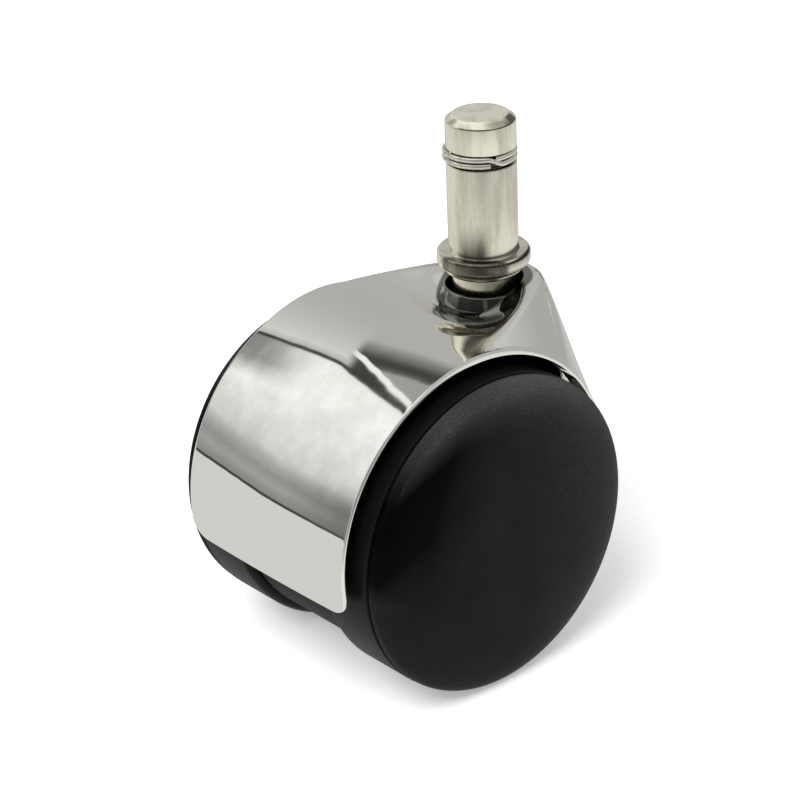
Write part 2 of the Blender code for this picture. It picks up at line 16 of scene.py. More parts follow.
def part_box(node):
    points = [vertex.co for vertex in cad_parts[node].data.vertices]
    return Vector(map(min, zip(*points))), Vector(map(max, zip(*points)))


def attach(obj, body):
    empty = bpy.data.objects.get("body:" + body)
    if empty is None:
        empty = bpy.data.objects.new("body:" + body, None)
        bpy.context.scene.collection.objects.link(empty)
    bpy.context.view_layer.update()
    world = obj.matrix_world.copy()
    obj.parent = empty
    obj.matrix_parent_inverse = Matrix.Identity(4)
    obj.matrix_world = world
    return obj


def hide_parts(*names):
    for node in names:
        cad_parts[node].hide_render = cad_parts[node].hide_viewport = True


MM = 0.001

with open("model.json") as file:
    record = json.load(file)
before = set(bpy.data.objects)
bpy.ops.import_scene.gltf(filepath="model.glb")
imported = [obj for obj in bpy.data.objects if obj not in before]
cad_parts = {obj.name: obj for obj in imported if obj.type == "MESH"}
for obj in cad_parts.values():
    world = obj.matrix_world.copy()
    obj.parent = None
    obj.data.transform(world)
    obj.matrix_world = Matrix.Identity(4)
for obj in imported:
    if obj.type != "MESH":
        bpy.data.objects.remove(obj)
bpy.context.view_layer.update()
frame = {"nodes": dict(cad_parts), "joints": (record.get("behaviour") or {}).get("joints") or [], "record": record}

# --- places and sizes taken from the frame --------------------------------------------------

hinges = {joint["name"]: joint for joint in frame["joints"]}
AXLE = Vector(hinges["wheel_spin_left"]["pos_m"])
mounts = {mount["name"]: mount for mount in frame["record"]["mounts"]}
SEAT_Z = mounts["collar_seat"]["pos_m"][2]
TYRE_LOW, TYRE_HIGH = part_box("tyre_left")
FLOOR_Z = TYRE_LOW.z
WHEEL_RADIUS = (TYRE_HIGH.z - TYRE_LOW.z) / 2.0
TYRE_INNER_Y = TYRE_LOW.y
TYRE_OUTER_Y = TYRE_HIGH.y
COVER_TOP_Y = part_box("cover_left")[1].y
HALF_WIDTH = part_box("hood")[1].y
SEAT_HEIGHT = SEAT_Z - AXLE.z

# --- hood shape, as angles about the axle and distances from it -----------------------------

HOOD_BACK = 0.5 * MM
HOOD_RAISE = 0.9 * MM
HOOD_CENTRE = AXLE + Vector((-HOOD_BACK, 0.0, HOOD_RAISE))
RIM_INNER_RADIUS = 27.0 * MM
RIM_RADIUS = 27.65 * MM
RIM_TOP_EXTRA = 0.35 * MM
RIM_TOP_ANGLE = math.radians(88.0)
RIM_TOP_SPREAD = math.radians(36.0)
RIM_ROUND = 0.35 * MM
LIP_CORNER = 3.0 * MM
FRONT_ANGLE = math.radians(6.0)
BACK_ANGLE = math.radians(191.2)
BAND_CROWN = 0.3 * MM
SADDLE_RISE = 0.4 * MM
SADDLE_START = math.radians(104.0)
SADDLE_END = math.radians(119.0)
HOOD_WALL = 3.0 * MM
CREST_BACK_Z = 28.6 * MM
CREST_Z = 29.6 * MM
CREST_RISE_X = 25.5 * MM
FLANK_SLOPE = 0.92
FLANK_HOLLOW = 0.9 * MM
FLANK_FRONT = math.radians(45.0)
FLANK_BACK = math.radians(90.0)
SHOULDER_BLEND = math.radians(13.0)
FILL_START = 12.5 * MM
FILL_END = 21.5 * MM
FACE_DISTANCE = 31.4 * MM
FACE_LEAN = math.radians(7.2)
FACE_BLEND = 1.6 * MM
CREST_BLEND = 1.6 * MM
SHOULDER_START = math.radians(48.0)
PLAIN_SHARE = 0.85
LEAST_SHARE = 0.35
ARC_STEPS = 300
INSIDE_STEPS = 34
OUTSIDE_STEPS = 14
ROUND_STEPS = 5

MOUTH_RADIUS = 6.2 * MM
MOUTH_Z = 29.45 * MM
BEAD_RADIUS = 7.3 * MM
BEAD_Z = 27.1 * MM
BULGE_RADIUS = 7.4 * MM
BULGE_Z = 23.7 * MM
COLUMN_RADIUS = 5.75 * MM
COLUMN_DEPTH = 6.0 * MM
BULGE_UPPER_SHARE = 0.28
BOSS_LIP = 0.4 * MM
BOSS_STEP = 0.3 * MM
SOCKET_CLEAR_RADIUS = 7.9 * MM
SOCKET_CLEAR_Z = 24.5 * MM

TURN_STEPS = 160


# --- small helpers --------------------------------------------------------------------------


def smoothstep(value, low, high):
    t = np.clip((value - low) / (high - low), 0.0, 1.0)
    return t * t * (3.0 - 2.0 * t)


def soft_min(a, b, blend):
    """The smaller of two values, rounded over a distance blend where they cross."""
    h = np.maximum(blend - np.abs(a - b), 0.0) / blend
    return np.minimum(a, b) - h * h * blend / 4.0


def link(obj):
    bpy.context.scene.collection.objects.link(obj)
    return obj


def smooth(mesh, angle):
    mesh.shade_smooth()
    mesh.set_sharp_from_angle(angle=math.radians(angle))


def piece(name, mesh, material, body, node):
    """Add a finished mesh as a piece that rides on a body and stands for a CAD node."""
    mesh.materials.clear()
    mesh.materials.append(material)
    obj = link(bpy.data.objects.new(name, mesh))
    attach(obj, body)
    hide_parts(node)


def mesh_from(vertices, faces, name):
    mesh = bpy.data.meshes.new(name)
    mesh.from_pydata([tuple(v) for v in vertices], [], [tuple(f) for f in faces])
    return mesh


def arc(centre_r, centre_z, radius_r, radius_z, start, stop, count):
    """Points of an elliptic arc in a profile; angles in degrees, zero pointing outward."""
    angles = np.radians(np.linspace(start, stop, count + 1))
    return [(centre_r + radius_r * math.cos(a), centre_z + radius_z * math.sin(a)) for a in angles]


def turned_mesh(name, profile, place):
    """Turn a closed or axis-to-axis profile of (radius, height) about Z, then place it."""
    work = bmesh.new()
    on_axis = profile[0][0] < 1e-9
    rings = []
    for radius, height in profile:
        if radius < 1e-9:
            rings.append([work.verts.new(place @ Vector((0.0, 0.0, height)))])
            continue
        ring = []
        for i in range(TURN_STEPS):
            angle = 2.0 * math.pi * i / TURN_STEPS
            point = Vector((radius * math.cos(angle), radius * math.sin(angle), height))
            ring.append(work.verts.new(place @ point))
        rings.append(ring)
    pairs = list(zip(rings, rings[1:]))
    if not on_axis:
        pairs.append((rings[-1], rings[0]))
    for upper, lower in pairs:
        for i in range(TURN_STEPS):
            j = (i + 1) % TURN_STEPS
            if len(upper) == 1:
                work.faces.new((upper[0], lower[i], lower[j]))
            elif len(lower) == 1:
                work.faces.new((upper[i], lower[0], upper[j]))
            else:
                work.faces.new((upper[i], lower[i], lower[j], upper[j]))
    bmesh.ops.recalc_face_normals(work, faces=work.faces)
    mesh = bpy.data.meshes.new(name)
    work.to_mesh(mesh)
    work.free()
    return mesh


ON_SWIVEL = Matrix.Translation((0.0, 0.0, AXLE.z))


def on_axle(side):
    """Places a profile so that its height runs outward along the axle, left (1) or right (-1)."""
    return Matrix.Translation(AXLE) @ Matrix.Rotation(-side * math.pi / 2.0, 4, "X")


# --- hood -----------------------------------------------------------------------------------


def rim_radius(angle):
    share = np.minimum(np.abs(angle - RIM_TOP_ANGLE) / RIM_TOP_SPREAD, 1.0)
    return RIM_RADIUS + RIM_TOP_EXTRA * (1.0 - smoothstep(share, 0.0, 1.0))


def crest_height(x):
    return CREST_BACK_Z + (CREST_Z - CREST_BACK_Z) * smoothstep(x, 0.0, CREST_RISE_X)


def crest_radius(angle):
    radius = CREST_Z / np.sin(angle)
    for _ in range(16):
        radius = crest_height(radius * np.cos(angle)) / np.sin(angle)
    return radius


def flank_foot(angle):
    span = np.clip((angle - FLANK_FRONT) / (FLANK_BACK - FLANK_FRONT), 0.0, 1.0)
    return rim_radius(angle) - FLANK_HOLLOW * np.sin(math.pi * span)


def crest_place(angle):
    crest = crest_radius(angle)
    return crest, HALF_WIDTH - (crest - flank_foot(angle)) / FLANK_SLOPE


def shoulder_radius(angle, y):
    """Outer radius in front of the hood's top: front face, two flanks and the saddle."""
    share = y / HALF_WIDTH
    rim = rim_radius(angle)
    middle = FACE_DISTANCE / np.cos(angle - FACE_LEAN)
    face = rim + (middle - rim) * (1.0 - share * share)
    flank = flank_foot(angle) + FLANK_SLOPE * (HALF_WIDTH - np.abs(y))
    crest, crest_y = crest_place(angle)
    fill = smoothstep(crest * np.cos(angle), FILL_START, FILL_END)
    floor = rim + SADDLE_RISE
    floor = floor + (crest - floor) * fill
    reach = np.abs(y) / np.maximum(crest_y, CREST_BLEND)
    saddle = floor + (crest - floor) * reach * reach
    radius = soft_min(soft_min(flank, face, FACE_BLEND), saddle, CREST_BLEND)
    return np.maximum(radius, rim + SADDLE_RISE * (1.0 - share * share))


def hood_radius(angle, y):
    share = y / HALF_WIDTH
    rise = smoothstep(angle, SADDLE_START, SADDLE_END)
    crown = SADDLE_RISE + (BAND_CROWN - SADDLE_RISE) * rise
    band = rim_radius(angle) + crown * (1.0 - share * share)
    if angle >= FLANK_BACK:
        return band
    share = smoothstep(angle, FLANK_BACK, FLANK_BACK - SHOULDER_BLEND)
    return band + (shoulder_radius(angle, y) - band) * share


def half_width_at(distance):
    short = np.maximum(LIP_CORNER - distance, 0.0)
    return HALF_WIDTH - LIP_CORNER + np.sqrt(LIP_CORNER**2 - short**2)


def hood_angles():
    corner = LIP_CORNER / RIM_RADIUS
    ends = [corner * (1.0 - math.cos(a)) for a in np.radians(np.linspace(0.0, 85.0, 14))]
    middle = list(np.linspace(FRONT_ANGLE + corner, BACK_ANGLE - corner, ARC_STEPS + 1))
    front = [FRONT_ANGLE + e for e in ends]
    back = [BACK_ANGLE - e for e in reversed(ends)]
    return front + middle + back


def crest_share(angle):
    if not SHOULDER_START < angle < FLANK_BACK:
        return PLAIN_SHARE
    share = float(crest_place(angle)[1]) / HALF_WIDTH
    return min(max(share, LEAST_SHARE), PLAIN_SHARE)


def hood_section(angle):
    """Outer then inner points of one section, as (y, radius) pairs."""
    lip = min(angle - FRONT_ANGLE, BACK_ANGLE - angle) * RIM_RADIUS
    half = float(half_width_at(lip))
    flat = half - RIM_ROUND
    share = crest_share(angle)
    inside = np.linspace(0.0, share, INSIDE_STEPS + 1)
    outside = np.linspace(share, 1.0, OUTSIDE_STEPS + 1)[1:]
    right = flat * np.concatenate([inside, outside])
    stations = np.concatenate([-right[:0:-1], right])
    radii = hood_radius(angle, stations)
    edge = float(hood_radius(angle, np.array([flat]))[0])
    turn = np.radians(np.linspace(0.0, 90.0, ROUND_STEPS + 1))[1:]
    round_y = flat + RIM_ROUND * np.sin(turn)
    round_r = edge - RIM_ROUND * (1.0 - np.cos(turn))
    ys = np.concatenate([-round_y[::-1], stations, round_y])
    rs = np.concatenate([round_r[::-1], radii, round_r])
    inner = np.maximum(RIM_INNER_RADIUS, rs - HOOD_WALL)
    return ys, rs, inner


def hood_shell_mesh():
    vertices, faces = [], []
    angles = hood_angles()
    for angle in angles:
        ys, outer, inner = hood_section(angle)
        c, s = math.cos(angle), math.sin(angle)
        for y, r in zip(ys, outer):
            vertices.append((HOOD_CENTRE.x + r * c, y, HOOD_CENTRE.z + r * s))
        for y, r in zip(ys[::-1], inner[::-1]):
            vertices.append((HOOD_CENTRE.x + r * c, y, HOOD_CENTRE.z + r * s))
    count = 2 * len(ys)
    for k in range(len(angles) - 1):
        a, b = k * count, (k + 1) * count
        for i in range(count):
            j = (i + 1) % count
            faces.append((a + i, b + i, b + j, a + j))
    for start, flip in ((0, False), ((len(angles) - 1) * count, True)):
        for i in range(count // 2 - 1):
            face = (start + i, start + i + 1, start + count - 2 - i, start + count - 1 - i)
            faces.append(face[::-1] if flip else face)
    mesh = mesh_from(vertices, faces, "hood_shell")
    work = bmesh.new()
    work.from_mesh(mesh)
    bmesh.ops.recalc_face_normals(work, faces=work.faces)
    work.to_mesh(mesh)
    work.free()
    return mesh


def boss_profile():
    """From the axis over the mouth, down a flared ring, over a bulge and down the column."""
    flare = [(MOUTH_RADIUS, MOUTH_Z)]
    flare += arc(MOUTH_RADIUS, MOUTH_Z - BOSS_LIP, BOSS_LIP, BOSS_LIP, 80.0, 20.0, 4)
    flare += arc(BEAD_RADIUS - BOSS_STEP, BEAD_Z + BOSS_STEP, BOSS_STEP, BOSS_STEP, 25.0, -50.0, 6)
    width = BULGE_RADIUS - COLUMN_RADIUS
    height = BEAD_Z - BOSS_STEP - BULGE_Z
    upper = height * BULGE_UPPER_SHARE
    lower = height - upper
    bulge = arc(COLUMN_RADIUS, BULGE_Z + lower, width, upper, 38.0, 0.0, 5)
    bulge += arc(COLUMN_RADIUS, BULGE_Z + lower, width, lower, -10.0, -85.0, 9)
    bottom = SOCKET_CLEAR_Z - COLUMN_DEPTH
    column = [(COLUMN_RADIUS, BULGE_Z - BOSS_STEP), (COLUMN_RADIUS, bottom), (0.0, bottom)]
    return [(0.0, MOUTH_Z)] + flare + bulge + column


def cutter(name, radius, low, high):
    return turned_mesh(name, [(0.0, high), (radius, high), (radius, low), (0.0, low)], ON_SWIVEL)


def apply_booleans(mesh, others):
    """Join or cut a mesh with others and return the result as a new mesh."""
    base = link(bpy.data.objects.new("boolean_base", mesh))
    helpers = []
    for other, operation in others:
        helper = link(bpy.data.objects.new("boolean_helper", other))
        modifier = base.modifiers.new("boolean", "BOOLEAN")
        modifier.object = helper
        modifier.operation = operation
        modifier.solver = "EXACT"
        helpers.append(helper)
    depsgraph = bpy.context.evaluated_depsgraph_get()
    result = bpy.data.meshes.new_from_object(base.evaluated_get(depsgraph))
    for obj in helpers + [base]:
        bpy.data.objects.remove(obj, do_unlink=True)
    return result


def build_hood(material):
    boss = turned_mesh("boss", boss_profile(), ON_SWIVEL)
    clear = cutter("clear", SOCKET_CLEAR_RADIUS, 0.0, SOCKET_CLEAR_Z)
    mouth = cutter("mouth", MOUTH_RADIUS, 0.0, SEAT_HEIGHT)
    mesh = apply_booleans(
        hood_shell_mesh(), [(boss, "UNION"), (clear, "DIFFERENCE"), (mouth, "DIFFERENCE")])
    smooth(mesh, 32.0)
    piece("hood_casting", mesh, material, "caster_body", "hood")


# --- stem -----------------------------------------------------------------------------------

STEM_RADIUS = 5.5 * MM
STEM_EDGE = 0.15 * MM
STEM_FILLET = 0.25 * MM
CHAMFER_WIDTH = 1.25 * MM
CHAMFER_ROUND = 0.5 * MM
CHAMFER_DROP = 1.15 * MM
COLLAR_RADIUS = 7.35 * MM
COLLAR_THICKNESS = 2.4 * MM
COLLAR_TOP_ROUND = 0.6 * MM
COLLAR_BASE_ROUND = 0.7 * MM
NECK_BEAD_RADIUS = 6.2 * MM
NECK_BEAD_WIDTH = 0.55 * MM
NECK_BEAD_DROP = 0.6 * MM
NECK_DROP = 1.4 * MM
NECK_RADIUS = 5.0 * MM
SHANK_RADIUS = 4.6 * MM
SHANK_END_Z = 9.0 * MM
SHANK_SHOULDER = 10.4 * MM
SHANK_TAPER = 0.4 * MM
SHANK_CHAMFER = 0.6 * MM
GROOVE_RADIUS = 4.65 * MM
GROOVE_LOW = 14.6 * MM
GROOVE_HIGH = 16.95 * MM
GROOVE_SHADE = 0.1 * MM
RING_WIRE = 0.42 * MM
RING_RADIUS = 5.4 * MM
RING_HEIGHT = 15.4 * MM
RING_STEP = 1.0 * MM
RING_CROSSING = 253.5
RING_OFFSET = 0.22 * MM
RING_OFFSET_ANGLE = 139.5
RING_TURN = 710.0
RING_SLOPE = 14.0
RING_STEPS = 360
WIRE_SIDES = 14
WIRE_END_SHARE = 0.35
GAP = 0.3 * MM
CLIP_Z = 12.9 * MM
CLIP_WIRE = 0.45 * MM
CLIP_GROOVE_RADIUS = 3.9 * MM
BALL_RADIUS = 2.5 * MM
BALL_Z = 8.4 * MM


def stem_profile():
    """From the centre of the top face down the outer side to the ball recess."""
    seat = SEAT_HEIGHT
    top = -AXLE.z
    edge, fillet, turn = STEM_EDGE, STEM_FILLET, CHAMFER_ROUND
    collar = seat - COLLAR_THICKNESS
    neck = collar - NECK_DROP
    shoulder = seat - SHANK_SHOULDER
    clip_low = CLIP_Z - CLIP_WIRE - GAP
    clip_high = CLIP_Z + CLIP_WIRE + GAP
    recess = BALL_RADIUS + GAP
    recess_top = BALL_Z + BALL_RADIUS + GAP
    points = [(0.0, top), (STEM_RADIUS - CHAMFER_WIDTH - 0.05 * MM, top)]
    points += arc(STEM_RADIUS - CHAMFER_WIDTH, top - fillet, fillet, fillet, 80.0, 50.0, 3)
    points += arc(STEM_RADIUS - turn, top - CHAMFER_DROP, turn, turn, 45.0, 0.0, 5)
    points += arc(STEM_RADIUS - edge, seat + GROOVE_HIGH + edge, edge, edge, 0.0, -90.0, 4)
    points += [(GROOVE_RADIUS, seat + GROOVE_HIGH), (GROOVE_RADIUS, seat + GROOVE_LOW)]
    points += arc(STEM_RADIUS - edge, seat + GROOVE_LOW - edge, edge, edge, 90.0, 0.0, 4)
    points += [(STEM_RADIUS, seat + fillet)]
    points += arc(STEM_RADIUS + fillet, seat + fillet, -fillet, -fillet, 0.0, 90.0, 4)
    turn = COLLAR_TOP_ROUND
    points += arc(COLLAR_RADIUS - turn, seat - turn, turn, turn, 90.0, 0.0, 8)
    turn = COLLAR_BASE_ROUND
    points += arc(COLLAR_RADIUS - turn, collar + turn, turn, turn, 0.0, -90.0, 8)
    points += [(NECK_BEAD_RADIUS, collar)]
    points += arc(NECK_BEAD_RADIUS - NECK_BEAD_WIDTH, collar - NECK_BEAD_DROP,
                  NECK_BEAD_WIDTH, NECK_BEAD_DROP, 40.0, -80.0, 8)
    points += [(NECK_RADIUS, neck), (NECK_RADIUS, shoulder)]
    points += [(SHANK_RADIUS, shoulder - SHANK_TAPER)]
    points += [(SHANK_RADIUS, clip_high), (CLIP_GROOVE_RADIUS, clip_high)]
    points += [(CLIP_GROOVE_RADIUS, clip_low), (SHANK_RADIUS, clip_low)]
    points += [(SHANK_RADIUS, SHANK_END_Z + SHANK_CHAMFER)]
    points += [(SHANK_RADIUS - SHANK_CHAMFER, SHANK_END_Z)]
    points += [(recess, SHANK_END_Z), (recess, recess_top), (0.0, recess_top)]
    return points


def wire_mesh(name, points, radius):
    """A round wire along a list of points, with rounded ends."""
    work = bmesh.new()
    points = [Vector(p) for p in points]
    rings = []
    for i, point in enumerate(points):
        ahead = points[min(i + 1, len(points) - 1)]
        behind = points[max(i - 1, 0)]
        heading = (ahead - behind).normalized()
        out = Vector((point.x, point.y, 0.0)).normalized()
        up = heading.cross(out).normalized()
        out = up.cross(heading).normalized()
        ring = []
        for k in range(WIRE_SIDES):
            angle = 2.0 * math.pi * k / WIRE_SIDES
            spoke = out * math.cos(angle) + up * math.sin(angle)
            ring.append(work.verts.new(point + spoke * radius))
        rings.append(ring)
    for a, b in zip(rings, rings[1:]):
        for k in range(WIRE_SIDES):
            j = (k + 1) % WIRE_SIDES
            work.faces.new((a[k], a[j], b[j], b[k]))
    for end, inward in ((0, 1), (-1, -2)):
        ring, point = rings[end], points[end]
        outward = (point - points[inward]).normalized()
        tip = work.verts.new(point + outward * radius * WIRE_END_SHARE)
        for k in range(WIRE_SIDES):
            work.faces.new((ring[k], ring[(k + 1) % WIRE_SIDES], tip))
    bmesh.ops.recalc_face_normals(work, faces=work.faces)
    mesh = bpy.data.meshes.new(name)
    work.to_mesh(mesh)
    work.free()
    smooth(mesh, 50.0)
    return mesh


def ring_points():
    """Two flat turns of wire, one above the other, joined by a short slope at the crossing."""
    points = []
    shift = math.radians(RING_OFFSET_ANGLE)
    for i in range(RING_STEPS + 1):
        turn = RING_TURN * i / RING_STEPS
        drop = RING_STEP * float(smoothstep(turn, 360.0 - RING_SLOPE, 360.0 + RING_SLOPE))
        angle = math.radians(RING_CROSSING + turn)
        points.append((
            RING_RADIUS * math.cos(angle) + RING_OFFSET * math.cos(shift),
            RING_RADIUS * math.sin(angle) + RING_OFFSET * math.sin(shift),
            SEAT_Z + RING_HEIGHT + RING_STEP - drop,
        ))
    return points


def build_stem(steel, spring):
    mesh = turned_mesh("stem_pin", stem_profile(), ON_SWIVEL)
    smooth(mesh, 40.0)
    piece("stem_pin", mesh, steel, "stem", "stem")
    ring = wire_mesh("grip_spring", ring_points(), RING_WIRE)
    piece("grip_spring", ring, spring, "stem", "grip_ring")


# --- wheels ---------------------------------------------------------------------------------

DRUM_RADIUS = 21.9 * MM
TREAD_INNER_ROUND = 1.2 * MM
TREAD_OUTER_ROUND = 0.35 * MM
DOME_POWER = 2.7
DOME_STEPS = 48
CAP_RADIUS = WHEEL_RADIUS - 0.1 * MM
CAP_EDGE = 0.35 * MM
CAP_WALL = 1.5 * MM
CAP_UNDERCUT = 0.1 * MM
CAP_DISH = 0.6 * MM
SKIRT_RADIUS = 18.9 * MM
SKIRT_WALL = 1.3 * MM
SKIRT_END_Y = 17.0 * MM


def tyre_profile():
    inner = DRUM_RADIUS + GAP
    points = [(inner, TYRE_OUTER_Y)]
    turn = TREAD_OUTER_ROUND
    points += arc(WHEEL_RADIUS - turn, TYRE_OUTER_Y - turn, turn, turn, 90.0, 0.0, 6)
    turn = TREAD_INNER_ROUND
    points += arc(WHEEL_RADIUS - turn, TYRE_INNER_Y + turn, turn, turn, 0.0, -90.0, 10)
    points += [(inner, TYRE_INNER_Y)]
    return points


def cover_profile():
    """A domed cap: a short upright edge, a superellipse dome and a snap skirt."""
    edge_y = TYRE_OUTER_Y + GAP
    base = edge_y + CAP_EDGE
    rise = COVER_TOP_Y - base
    dome = []
    for i in range(DOME_STEPS + 1):
        share = math.sin(math.pi / 2.0 * i / DOME_STEPS)
        height = base + rise * (1.0 - share**DOME_POWER) ** (1.0 / DOME_POWER)
        dome.append((CAP_RADIUS * share, height))
    inner_y = COVER_TOP_Y - CAP_WALL
    skirt_inner = SKIRT_RADIUS - SKIRT_WALL
    return dome + [
        (CAP_RADIUS - CAP_UNDERCUT, edge_y),
        (SKIRT_RADIUS, edge_y),
        (SKIRT_RADIUS, SKIRT_END_Y),
        (skirt_inner, SKIRT_END_Y),
        (skirt_inner, inner_y - CAP_DISH),
        (0.0, inner_y),
    ]


def build_wheels(materials):
    for side, label in ((1.0, "left"), (-1.0, "right")):
        body = "wheel_" + label
        tyre = turned_mesh("tread_" + label, tyre_profile(), on_axle(side))
        smooth(tyre, 40.0)
        piece("tread_" + label, tyre, materials["tread"], body, "tyre_" + label)
        cap = turned_mesh("cap_" + label, cover_profile(), on_axle(side))
        smooth(cap, 40.0)
        piece("cap_" + label, cap, materials["cover"], body, "cover_" + label)


# --- shader node helpers --------------------------------------------------------------------

FLATTEN = (1.0, 1.0, 0.0)
SQUARE_ON = 0.002


def new_material(name, colour, roughness, metallic):
    material = bpy.data.materials.new(name)
    material.use_nodes = True
    tree = material.node_tree
    shader = tree.nodes["Principled BSDF"]
    shader.inputs["Base Color"].default_value = (*colour, 1.0)
    shader.inputs["Roughness"].default_value = roughness
    shader.inputs["Metallic"].default_value = metallic
    return material, tree, shader


def object_coordinates(tree, scale=(1.0, 1.0, 1.0)):
    coordinates = tree.nodes.new("ShaderNodeTexCoord")
    mapping = tree.nodes.new("ShaderNodeMapping")
    mapping.inputs["Scale"].default_value = scale
    tree.links.new(coordinates.outputs["Object"], mapping.inputs["Vector"])
    return mapping.outputs["Vector"]


def reflected(tree):
    """The direction that a mirror at each point would show."""
    return tree.nodes.new("ShaderNodeTexCoord").outputs["Reflection"]


def aslant(tree):
    """1 where a surface is seen at a slant, 0 dead square on, where its plain finish shows."""
    facing = tree.nodes.new("ShaderNodeLayerWeight").outputs["Facing"]
    return rescale(tree, facing, 0.0, SQUARE_ON)


def axes(tree, vector):
    """The three parts of a vector."""
    split = tree.nodes.new("ShaderNodeSeparateXYZ")
    tree.links.new(vector, split.inputs["Vector"])
    return [split.outputs[axis] for axis in "XYZ"]


def along(tree, vector, direction):
    """How far a vector reaches along a direction."""
    node = tree.nodes.new("ShaderNodeVectorMath")
    node.operation = "DOT_PRODUCT"
    node.inputs[1].default_value = direction
    tree.links.new(vector, node.inputs[0])
    return node.outputs["Value"]


def swivel_distance(tree):
    """The distance of each point from the swivel axis."""
    node = tree.nodes.new("ShaderNodeVectorMath")
    node.operation = "LENGTH"
    tree.links.new(object_coordinates(tree, FLATTEN), node.inputs[0])
    return node.outputs["Value"]


def noise(tree, vector, scale, detail=3.0, roughness=0.5):
    node = tree.nodes.new("ShaderNodeTexNoise")
    node.inputs["Scale"].default_value = scale
    node.inputs["Detail"].default_value = detail
    node.inputs["Roughness"].default_value = roughness
    tree.links.new(vector, node.inputs["Vector"])
    return node.outputs["Fac"]


def ramp(tree, value, stops):
    node = tree.nodes.new("ShaderNodeValToRGB")
    elements = node.color_ramp.elements
    elements[0].position, elements[0].color = stops[0][0], (*stops[0][1], 1.0)
    elements[1].position, elements[1].color = stops[-1][0], (*stops[-1][1], 1.0)
    for position, colour in stops[1:-1]:
        elements.new(position).color = (*colour, 1.0)
    tree.links.new(value, node.inputs["Fac"])
    return node.outputs["Color"]


def tones(tree, value, stops):
    """A grey ramp whose stops are given between -1 and 1."""
    return ramp(tree, rescale(tree, value, -1.0, 1.0), [
        ((place + 1.0) / 2.0, (tone, tone, tone)) for place, tone in stops])


def map_range(tree, value, low, high):
    """A value between 0 and 1, spread from low to high."""
    node = tree.nodes.new("ShaderNodeMapRange")
    node.inputs["To Min"].default_value = low
    node.inputs["To Max"].default_value = high
    tree.links.new(value, node.inputs["Value"])
    return node.outputs["Result"]


def rescale(tree, value, low, high):
    """A value scaled so that low becomes 0 and high becomes 1, and held between them."""
    node = tree.nodes.new("ShaderNodeMapRange")
    node.inputs["From Min"].default_value = low
    node.inputs["From Max"].default_value = high
    tree.links.new(value, node.inputs["Value"])
    return node.outputs["Result"]


def connect(tree, socket, value):
    """Feed a socket from another socket, or set it to a plain value."""
    if isinstance(value, (float, tuple)):
        socket.default_value = value
    else:
        tree.links.new(value, socket)


def combine(tree, operation, first, second):
    node = tree.nodes.new("ShaderNodeMath")
    node.operation = operation
    for socket, value in zip(node.inputs, (first, second)):
        connect(tree, socket, value)
    return node.outputs["Value"]


def multiply(tree, first, second):
    return combine(tree, "MULTIPLY", first, second)


def plain(tone):
    return (tone, tone, tone, 1.0)


def mix_colours(tree, factor, first, second, blend="MIX"):
    """Mix two colours; each is a socket or a plain colour."""
    node = tree.nodes.new("ShaderNodeMix")
    node.data_type = "RGBA"
    node.blend_type = blend
    connect(tree, node.inputs["Factor"], factor)
    for name, colour in (("A", first), ("B", second)):
        socket = next(i for i in node.inputs if i.name == name and i.type == "RGBA")
        connect(tree, socket, colour)
    return next(o for o in node.outputs if o.type == "RGBA")


def multiply_colours(tree, first, second):
    return mix_colours(tree, 1.0, first, second, "MULTIPLY")


def bump(tree, shader, height, distance):
    node = tree.nodes.new("ShaderNodeBump")
    node.inputs["Strength"].default_value = 1.0
    node.inputs["Distance"].default_value = distance
    tree.links.new(height, node.inputs["Height"])
    tree.links.new(node.outputs["Normal"], shader.inputs["Normal"])


# --- materials ------------------------------------------------------------------------------

CHROME = (0.925, 0.915, 0.86)
# Painted reflection in the cloudy band: the tones of its light and dark blotches.
HAZE_PAINTED_DARK = (0.86, 0.85, 0.80)
HAZE_PAINTED_LIGHT = (1.0, 0.99, 0.94)
HAZE_ANGLE = math.radians(135.0)
HAZE_START = 25.2 * MM
HAZE_FULL = 27.2 * MM
HAZE_ROUGHNESS = 0.09
MIRROR_ROUGHNESS = 0.02
RIPPLE_DEPTH = 0.03 * MM
# Painted shade on the boss: its darkened plate, and the darker tone it takes where its reflection points at the
# near side.
BOSS_PAINTED_SHADE = (0.24, 0.245, 0.22, 1.0)
BOSS_SHADE = 0.02
BOSS_SHADE_START = BULGE_RADIUS + 0.4 * MM
BOSS_SHADE_FULL = BULGE_RADIUS + 0.05 * MM
STEEL_DARK = (0.70, 0.66, 0.53)
STEEL_LIGHT = (0.98, 0.95, 0.79)
SPRING_DARK = (0.66, 0.64, 0.56)
SPRING_LIGHT = (0.86, 0.84, 0.76)
# Painted shade inside the pin's groove.
GROOVE_PAINTED_SHADE = (0.07, 0.065, 0.05, 1.0)
# Painted dark reflection on one side of the pin's foot, fading upward: its tone, side, heights and edges.
DARK_REFLECTION = (0.10, 0.09, 0.07, 1.0)
DARK_REFLECTION_SIDE = (-0.853, -0.522, 0.0)
DARK_REFLECTION_TOP_Z = SEAT_Z + 6.0 * MM
DARK_REFLECTION_FULL_Z = SEAT_Z + 1.0 * MM
DARK_REFLECTION_EDGE = STEM_RADIUS * 0.86
DARK_REFLECTION_MIDDLE = STEM_RADIUS * 0.97
END_FACE_METAL = 0.77
COVER_BLACK = (0.0115, 0.0111, 0.0105)
TREAD_BLACK = (0.0040, 0.0038, 0.0035)
HOUSING_BLACK = (0.004, 0.004, 0.004)
# Strengths of the painted highlight on the cap's shoulder and right side.
SHEEN_SHOULDER = 0.040
SHEEN_RIGHT = 0.024
BRONZE = (0.55, 0.38, 0.20)
BRONZE_DARK = (0.35, 0.24, 0.13)
BRONZE_LIGHT = (0.60, 0.43, 0.24)

